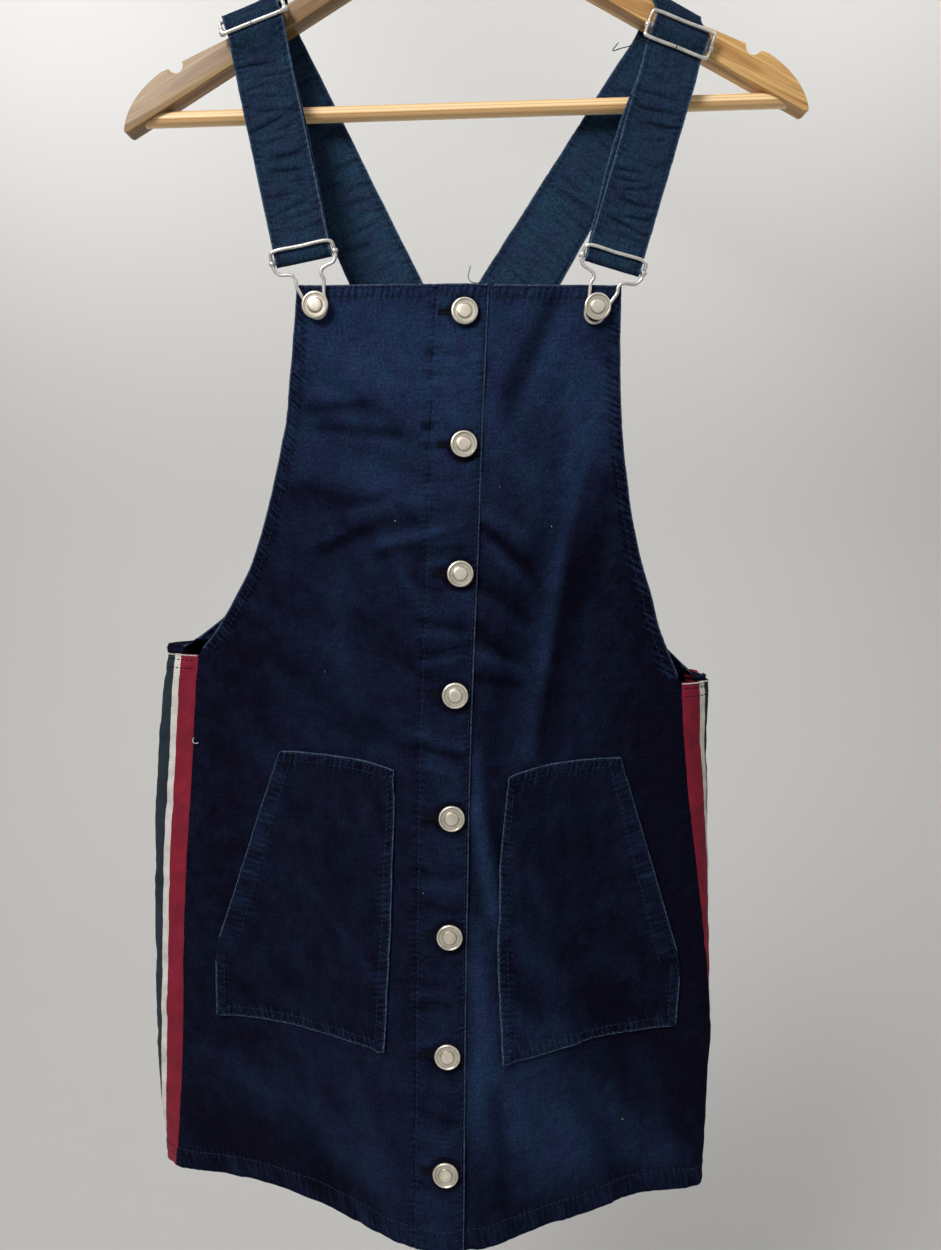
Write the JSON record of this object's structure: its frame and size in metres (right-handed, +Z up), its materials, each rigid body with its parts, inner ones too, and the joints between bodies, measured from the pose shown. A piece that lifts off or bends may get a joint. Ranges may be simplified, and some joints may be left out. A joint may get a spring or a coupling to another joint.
{
  "type": "pinafore dress on a hanger",
  "caption": "Navy twill button-front pinafore dress with buckled shoulder straps, patch pockets and striped side tapes, hung on a wooden clothes hanger.",
  "frame": {"origin": "inside of the hanger's hook at its top, where the rail carries it", "axes": "+Z up; -Y is the dress's front; X runs across, with the wearer's right side at -X"},
  "size_m": [0.4515, 0.1143, 0.9488],
  "materials": {
    "navy_twill": "matte cotton twill, lightly washed",
    "striped_tape": "woven tape striped red, white and dark green",
    "steel_wire": "plated wire, satin",
    "button_metal": "pressed shank buttons, satin silver",
    "hanger_wood": "clear-varnished pale wood",
    "hook_wire": "polished wire"
  },
  "bodies": {
    "root": {"front_right": "navy_twill", "front_left": "navy_twill", "back": "navy_twill", "side_tape_right": "striped_tape", "side_tape_left": "striped_tape", "pocket_right": "navy_twill", "pocket_left": "navy_twill", "strap_right": "navy_twill", "strap_left": "navy_twill", "slide_right": "steel_wire", "slide_left": "steel_wire", "buckle_right": "steel_wire", "buckle_left": "steel_wire", "button_1": "button_metal", "button_2": "button_metal", "button_3": "button_metal", "button_4": "button_metal", "button_5": "button_metal", "button_6": "button_metal", "button_7": "button_metal", "button_8": "button_metal", "bib_button_right": "button_metal", "bib_button_left": "button_metal", "hanger_board": "hanger_wood", "hanger_bar": "hanger_wood", "hanger_hook": "hook_wire"}
  },
  "joints": []
}
